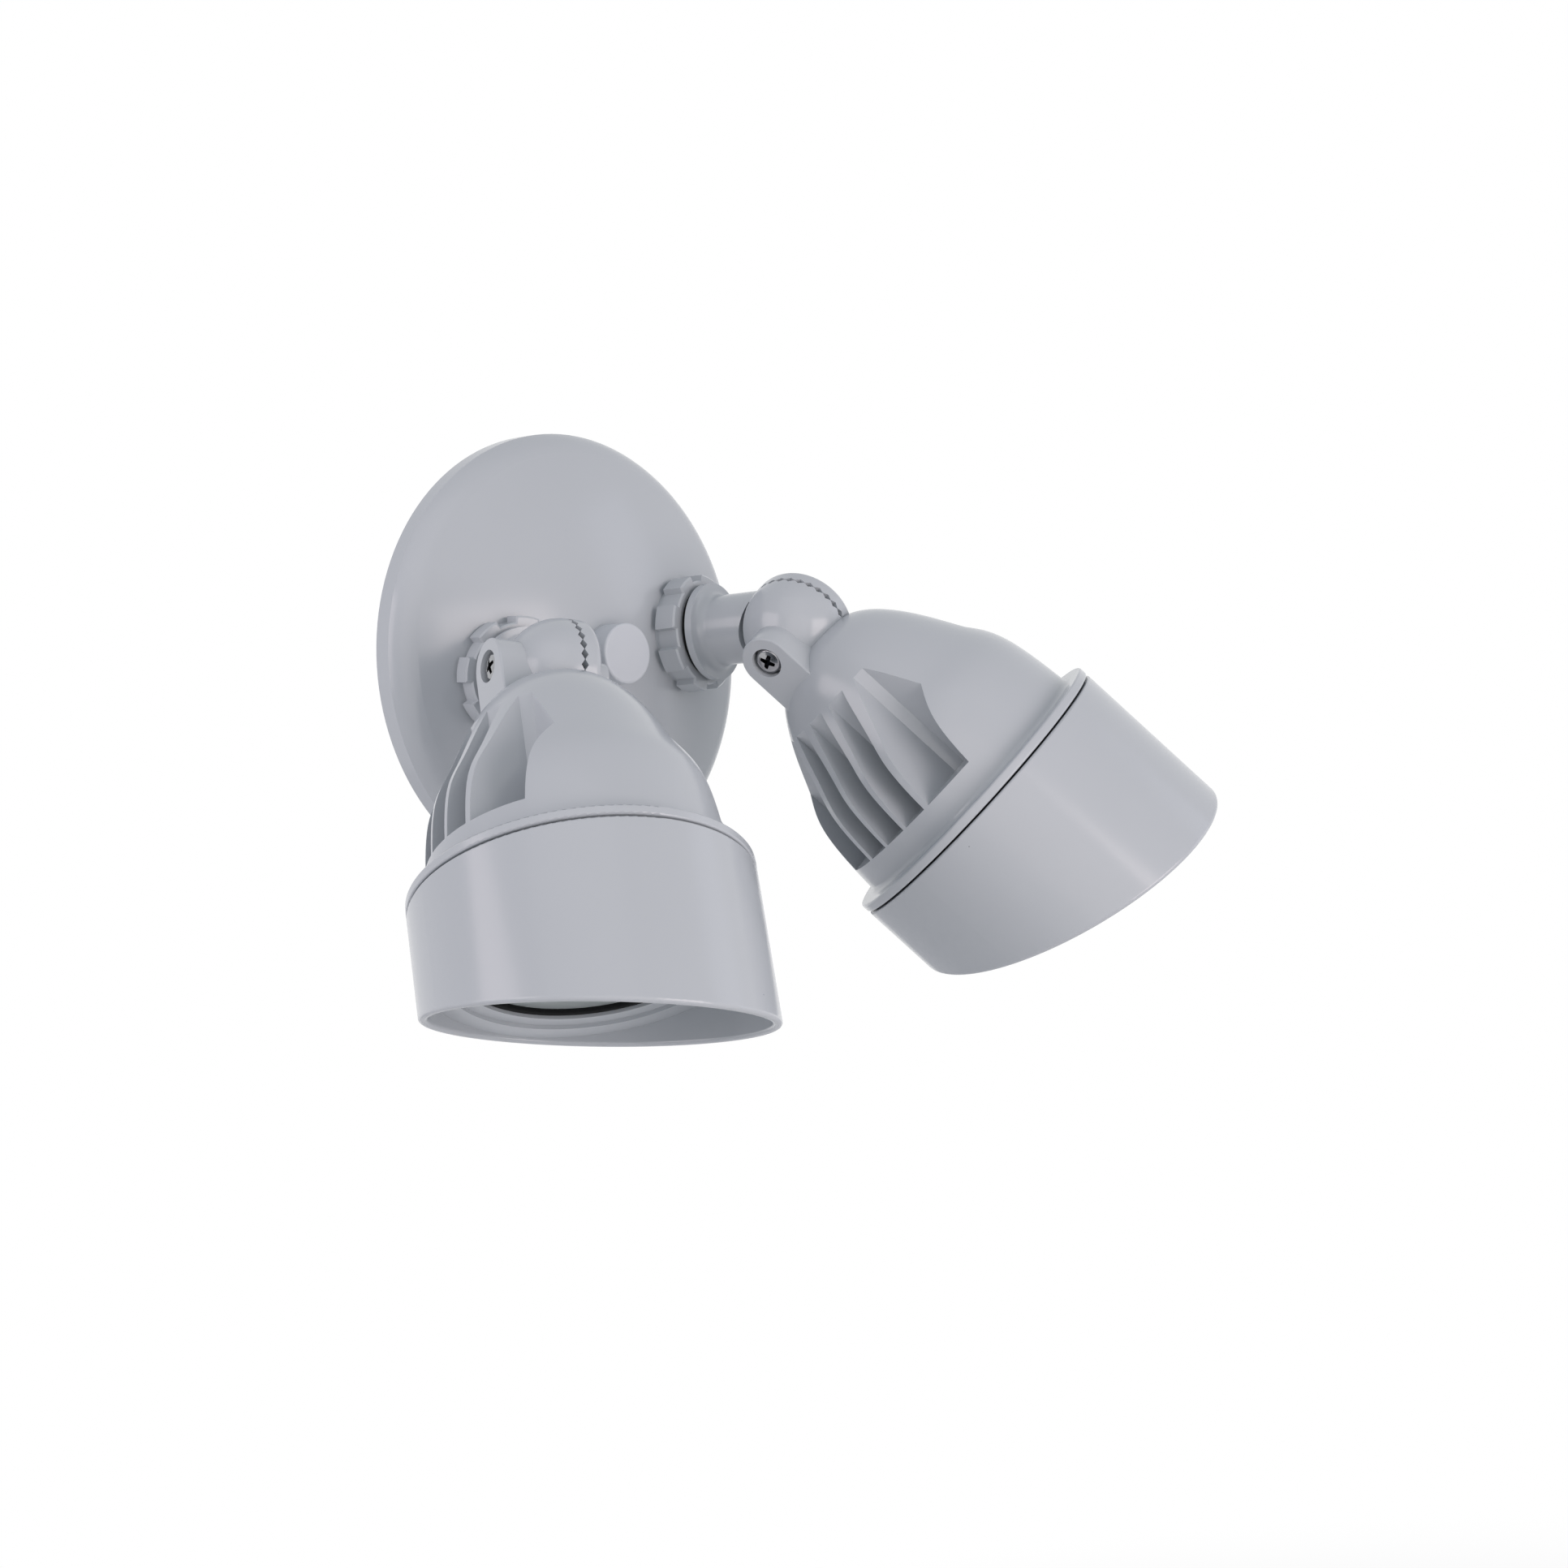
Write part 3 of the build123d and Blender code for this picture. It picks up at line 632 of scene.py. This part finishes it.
@dataclass(frozen=True)
class Knuckle:
    """Stem, lock nut and toothed knuckle of one lamp, with its cross-recess screw."""

    lamp: LampFrame
    cross_turn: float
    head_seat: float = 23.2
    head_radius: float = 4.0
    head_height: float = 2.6
    head_crown: float = 0.7
    head_edge: float = 1.1
    cross_reach: float = 2.35
    cross_half_width: float = 0.72
    cross_depth: float = 1.9
    cross_rise: float = 0.6
    cross_root: float = 1.15
    cross_narrowing: float = 0.4
    cross_wall: float = 0.16
    shank_radius: float = 2.0
    shank_low: float = -30.65
    thread_depth: float = 0.4
    thread_pitch: float = 0.7
    head_overlap: float = 0.3
    # Share of the head's height that the painted shade climbs from its foot
    painted_shade_share: float = 0.6
    crown_rows: int = 72
    edge_rows: int = 9
    head_steps: int = 192

    def screw(self) -> bpy.types.Object:
        """Model the pan-head screw with its cross recess and threaded shank.

        The head is a turned profile: a crown z = h - c (r / R)^2, a quarter round and a
        straight side. The recess is taken off z where the lesser of |x| and |y| is under
        the arm's half width and r under its reach; its floor climbs by cross_rise of the
        depth with r / reach, and its walls are ramps cross_wall wide.

        Returns:
            The screw.
        """
        flat = self.head_radius - self.head_edge
        radius = np.linspace(0, flat, self.crown_rows)
        crown = self.head_height - self.head_crown * (radius / self.head_radius) ** 2
        bend = np.linspace(0, np.pi / 2, self.edge_rows + 1)[1:]
        drop = crown[-1] - self.head_edge
        radius = np.concatenate(
            [radius, flat + self.head_edge * np.sin(bend), [self.head_radius, 0.0]]
        )
        height = np.concatenate([crown, drop + self.head_edge * np.cos(bend), [0.0, 0.0]])
        turn = np.linspace(0, 2 * np.pi, self.head_steps + 1)[None, :]
        reach = radius[:, None]
        on_top = (np.arange(len(radius)) < self.crown_rows)[:, None]
        depth = self.cross_depth * (1 - self.cross_rise * np.clip(reach / self.cross_reach, 0, 1))
        level = height[:, None] - depth * self.recess(reach, turn) * on_top
        head = np.stack([reach * np.cos(turn), reach * np.sin(turn), level], -1)
        shank = threaded(
            self.shank_radius, self.thread_depth, self.thread_pitch, self.shank_low, self.head_overlap
        )
        screw = close_surface(
            f"knuckle_screw_cross_{self.lamp.side.word}",
            self.lamp.along_pivot(head, self.head_seat),
            self.lamp.along_pivot(shank, self.head_seat),
            sharp_angle=35.0,
        )
        # Paint shade into the cross recess and round the foot of the head
        self.paint_recess_shade(screw)
        return screw

    def recess(self, reach: Array, turn: Array) -> Array:
        """Share of the recess's depth, from 0 on the crown to 1 on its floor.

        An arm of the cross is cross_root of its half width at the middle and narrows by
        cross_narrowing of it over its reach.

        Args:
            reach: Distance from the screw's axis.
            turn: Angle about the axis, in radians.

        Returns:
            The share at every point.
        """
        bearing = turn - np.radians(self.cross_turn)
        arm = np.minimum(np.abs(reach * np.cos(bearing)), np.abs(reach * np.sin(bearing)))
        narrowing = self.cross_narrowing * reach / self.cross_reach
        width = self.cross_half_width * (self.cross_root - narrowing)
        inside = np.clip((width - arm) / self.cross_wall, 0, 1)
        return inside * np.clip((self.cross_reach - reach) / self.cross_wall, 0, 1)

    def paint_recess_shade(self, screw: bpy.types.Object) -> None:
        """Store where painted shade sits: in the cross recess and round the foot of the head.

        Args:
            screw: The finished screw.
        """
        points = np.empty(len(screw.data.vertices) * 3)
        screw.data.vertices.foreach_get("co", points)
        local = self.lamp.from_pivot(points.reshape(-1, 3), self.head_seat)
        reach = np.hypot(local[:, 0], local[:, 1])
        cross = self.recess(reach, np.arctan2(local[:, 1], local[:, 0])) * (local[:, 2] > 0)
        # Painted shade: full on the recess floor, and fading from the foot of the head up to a share of
        # its height
        foot = np.clip(1 - local[:, 2] / (self.painted_shade_share * self.head_height), 0, 1)
        painted_shade = screw.data.attributes.new("painted_shade", "FLOAT", "POINT")
        painted_shade.data.foreach_set("value", np.maximum(cross, foot))

    def build(self) -> None:
        """Dress the knuckle's nodes and set the screw in place."""
        word = self.lamp.side.word
        dress([f"lock_nut_{word}", f"arm_{word}"], FINISH[Finishes.PAINT])
        dress([f"stem_gasket_{word}", f"knuckle_o_ring_{word}"], FINISH[Finishes.RUBBER])
        dress([f"knuckle_washer_{word}"], FINISH[Finishes.STAINLESS])
        fit(
            self.screw(),
            f"stem_{word}",
            "stainless_steel",
            FINISH[Finishes.SCREW],
            f"knuckle_screw_{word}",
        )


@dataclass(frozen=True)
class LampHead:
    """Finned housing, visor, lens and light engine of one lamp."""

    lamp: LampFrame
    board_front: float = 64.1
    gel_radius: float = 7.4
    dam_radius: float = 8.2
    dam_half_width: float = 0.8
    dam_height: float = 1.0
    gel_height: float = 0.75
    gel_climb: float = 0.1
    gel_overlap: float = 0.4
    gel_rows: int = 40
    bead_rows: int = 25
    lens_front: float = 88.2
    ring_radius: float = 34.6
    ring_half_width: float = 0.8
    ring_height: float = 1.5
    lip_rows: int = 33
    ring_steps: int = 192

    def lens_ring(self) -> None:
        """Model the black ring on the lens as moulded rubber with a rounded lip.

        Its section is the upper half of the superellipse |x / w|^4 + (z / h)^4 = 1, turned
        about the lamp's axis.
        """
        word = self.lamp.side.word
        bend = np.linspace(np.pi, 0, self.lip_rows)
        across = np.sign(np.cos(bend)) * np.sqrt(np.abs(np.cos(bend)))
        upward = np.sqrt(np.abs(np.sin(bend)))
        lip = np.stack([self.ring_radius + self.ring_half_width * across, self.ring_height * upward], -1)
        ring = turned(np.concatenate([lip, lip[:1]]), self.ring_steps)
        piece = close_surface(f"lens_ring_{word}", self.lamp.along_aim(ring, self.lens_front))
        fit(piece, f"lamp_{word}", "black_rubber", FINISH[Finishes.RUBBER], f"lens_gasket_{word}")

    def emitter(self) -> None:
        """Model the emitter: a shallow gel pool inside a round silicone dam.

        The dam is half an ellipse turned about the axis; the gel is a disc whose edge
        climbs the dam, z = h + c (r / R)^8.
        """
        word = self.lamp.side.word
        bend = np.linspace(0, np.pi, self.bead_rows)
        dam = np.stack(
            [self.dam_radius - self.dam_half_width * np.cos(bend), self.dam_height * np.sin(bend)], -1
        )
        ring = turned(np.concatenate([dam, dam[:1]]))
        radius = np.linspace(0, self.gel_radius + self.gel_overlap, self.gel_rows)
        pool = self.gel_height + self.gel_climb * (radius / radius[-1]) ** 8
        gel = np.concatenate([np.stack([radius, pool], -1), [[radius[-1], 0.0], [0.0, 0.0]]])
        piece = close_surface(f"emitter_dam_{word}", self.lamp.along_aim(ring, self.board_front))
        fit(piece, f"lamp_{word}", "led_phosphor", FINISH[Finishes.DAM])
        piece = close_surface(f"emitter_gel_{word}", self.lamp.along_aim(turned(gel), self.board_front))
        fit(piece, f"lamp_{word}", "led_phosphor", FINISH[Finishes.PHOSPHOR], f"led_array_{word}")

    def build(self) -> None:
        """Dress the lamp's nodes and set the lens ring and the emitter in place."""
        word = self.lamp.side.word
        dress([f"housing_{word}", f"visor_{word}"], FINISH[Finishes.PAINT])
        dress([f"visor_gasket_{word}"], FINISH[Finishes.RUBBER])
        dress([f"lens_{word}"], FINISH[Finishes.GLASS])
        dress([f"reflector_{word}"], FINISH[Finishes.REFLECTOR])
        dress([f"led_board_{word}"], FINISH[Finishes.BOARD])
        dress([f"board_screws_{word}"], FINISH[Finishes.ZINC])
        dress([f"driver_{word}"], FINISH[Finishes.CASE])
        self.lens_ring()
        self.emitter()


# Studio


@dataclass(frozen=True)
class Softbox:
    """One soft rectangular lamp, placed from the object by the camera's own directions."""

    name: str
    right: float
    up: float
    back: float
    width: float
    height: float
    watts: float
    colour: str = "#FFFFFF"


@dataclass(frozen=True)
class Studio:
    """Camera at the photograph's viewing angle, soft lamps, pale floor, white background."""

    focal_pixels: float = 4512.1
    sensor: float = 36.0
    azimuth: float = -43.62
    elevation: float = 7.06
    roll: float = -9.41
    eye: tuple[float, float, float] = (-708.54, -832.92, 86.73)
    middle: tuple[float, float, float] = (0.0, -0.06, -0.03)
    floor_level: float = -0.6
    floor_radius: float = 1.2
    floor_colour: str = "#F3F3F1"
    fade_start: float = 0.55
    fade_end: float = 0.9
    floor_rows: int = 24
    floor_steps: int = 96
    sky_strength: float = 0.5
    sky_colour: str = "#F0F5FF"
    lamps: tuple[Softbox, ...] = (
        Softbox("right_front", 1.1, 0.0, 0.9, 0.9, 0.9, 9.6, "#FFF2F1"),
        Softbox("left", -1.1, 0.2, 0.6, 0.9, 0.9, 5.7, "#FFF2F6"),
        Softbox("front", 0.1, 0.1, 1.4, 1.2, 1.2, 2.2, "#FFF2EC"),
        Softbox("top", -0.2, 1.1, 0.9, 1.3, 1.0, 1.0),
        Softbox("side", 1.1, 0.3, -0.2, 0.4, 0.9, 0.6, "#E8ECFF"),
    )

    def axes(self) -> tuple[Array, Array, Array]:
        """Directions of the camera.

        Returns:
            Right, up and back, as unit vectors.
        """
        azimuth, elevation, roll = np.radians([self.azimuth, self.elevation, self.roll])
        back = np.array(
            [np.sin(azimuth) * np.cos(elevation), -np.cos(azimuth) * np.cos(elevation), np.sin(elevation)]
        )
        level = np.array([np.cos(azimuth), np.sin(azimuth), 0.0])
        upright = np.cross(back, level)
        right = np.cos(roll) * level + np.sin(roll) * upright
        up = -np.sin(roll) * level + np.cos(roll) * upright
        return right, up, back

    @staticmethod
    def stand(thing: bpy.types.Object, place: Array, right: Array, up: Array, back: Array) -> None:
        """Place a camera or lamp, which looks along minus back.

        Args:
            thing: Object to place.
            place: Its place, in metres.
            right: Its x direction.
            up: Its y direction.
            back: Its z direction.
        """
        matrix = np.eye(4)
        matrix[:3, :3] = np.stack([right, up, back], -1)
        matrix[:3, 3] = place
        thing.matrix_world = Matrix(matrix.tolist())
        bpy.context.scene.collection.objects.link(thing)

    def camera(self) -> None:
        """Make the scene's camera."""
        data = bpy.data.cameras.new("camera")
        data.sensor_width = self.sensor
        data.lens = self.focal_pixels / FRAME_PIXELS * self.sensor
        data.clip_start, data.clip_end = 0.01, 50.0
        eye = bpy.data.objects.new("camera", data)
        self.stand(eye, np.array(self.eye) * MM, *self.axes())
        bpy.context.scene.camera = eye

    def light(self) -> None:
        """Make the soft lamps; each faces the middle of the object and hides from the camera."""
        right, up, back = self.axes()
        for box in self.lamps:
            data = bpy.data.lights.new(box.name, "AREA")
            data.shape = "RECTANGLE"
            data.size, data.size_y = box.width, box.height
            data.energy = box.watts
            data.color = to_linear(box.colour)[:3]
            away = right * box.right + up * box.up + back * box.back
            facing = away / np.linalg.norm(away)
            across = np.cross(up, facing)
            across /= np.linalg.norm(across)
            lamp = bpy.data.objects.new(box.name, data)
            self.stand(lamp, np.array(self.middle) + away, across, np.cross(facing, across), facing)
            lamp.visible_camera = False

    def sky(self) -> None:
        """Make the world: an even cool light, seen white by the eye, in metal and through glass."""
        world = bpy.data.worlds.new("white_room")
        world.use_nodes = True
        tree = world.node_tree
        tree.nodes.clear()
        path = add_node(tree, "ShaderNodeLightPath")
        mirrored = add_node(
            tree,
            "ShaderNodeMath",
            {0: path.outputs["Is Camera Ray"], 1: path.outputs["Is Glossy Ray"]},
            operation="MAXIMUM",
        )
        seen = add_node(
            tree,
            "ShaderNodeMath",
            {0: mirrored.outputs[0], 1: path.outputs["Is Transmission Ray"]},
            operation="MAXIMUM",
        )
        even = add_node(
            tree,
            "ShaderNodeBackground",
            {"Color": to_linear(self.sky_colour), "Strength": self.sky_strength},
        )
        white = add_node(tree, "ShaderNodeBackground", {"Color": to_linear("#FFFFFF"), "Strength": 1.0})
        mixed = add_node(
            tree, "ShaderNodeMixShader", {0: seen.outputs[0], 1: even.outputs[0], 2: white.outputs[0]}
        )
        add_node(tree, "ShaderNodeOutputWorld", {"Surface": mixed.outputs[0]})
        bpy.context.scene.world = world

    def floor(self) -> None:
        """Make the floor: a pale disc that fades into the white background at its edge."""
        material, tree = new_material("matt_white_paper")
        place = add_node(tree, "ShaderNodeTexCoord").outputs["Object"]
        distance = add_node(tree, "ShaderNodeVectorMath", {0: place}, operation="LENGTH")
        fade = add_node(
            tree,
            "ShaderNodeMapRange",
            {
                "Value": distance.outputs["Value"],
                "From Min": self.floor_radius * self.fade_start,
                "From Max": self.floor_radius * self.fade_end,
            },
            interpolation_type="SMOOTHSTEP",
        )
        paper = add_node(
            tree, "ShaderNodeBsdfDiffuse", {"Color": to_linear(self.floor_colour), "Roughness": 0.5}
        )
        white = add_node(tree, "ShaderNodeEmission", {"Color": to_linear("#FFFFFF"), "Strength": 1.0})
        path = add_node(tree, "ShaderNodeLightPath")
        seen = add_node(
            tree,
            "ShaderNodeMath",
            {0: fade.outputs["Result"], 1: path.outputs["Is Camera Ray"]},
            operation="MULTIPLY",
        )
        mixed = add_node(
            tree, "ShaderNodeMixShader", {0: seen.outputs[0], 1: paper.outputs[0], 2: white.outputs[0]}
        )
        add_node(tree, "ShaderNodeOutputMaterial", {"Surface": mixed.outputs[0]})
        reach = np.linspace(0, self.floor_radius, self.floor_rows)
        profile = np.stack([reach, np.full(self.floor_rows, self.floor_level)], -1)
        disc = close_surface("floor", turned(profile, self.floor_steps))
        disc.data.materials.append(material)

    def build(self) -> None:
        """Set up the whole studio."""
        bpy.context.scene.view_settings.view_transform = "Standard"
        self.camera()
        self.light()
        self.sky()
        self.floor()


def main() -> None:
    """Build every sub-assembly in order, then the studio."""
    logging.basicConfig(level=logging.INFO, format="%(name)s: %(message)s")
    # Turn of each stem and droop of each lamp, as photographed
    left = LampFrame(Side.LEFT, pan=-17.6, droop=59.7)
    right = LampFrame(Side.RIGHT, pan=19.4, droop=56.2)
    WallParts().build()
    for lamp, cross_turn in ((left, 8.0), (right, 24.0)):
        Knuckle(lamp, cross_turn).build()
        LampHead(lamp).build()
    Studio().build()


if __name__ == "__main__":
    main()
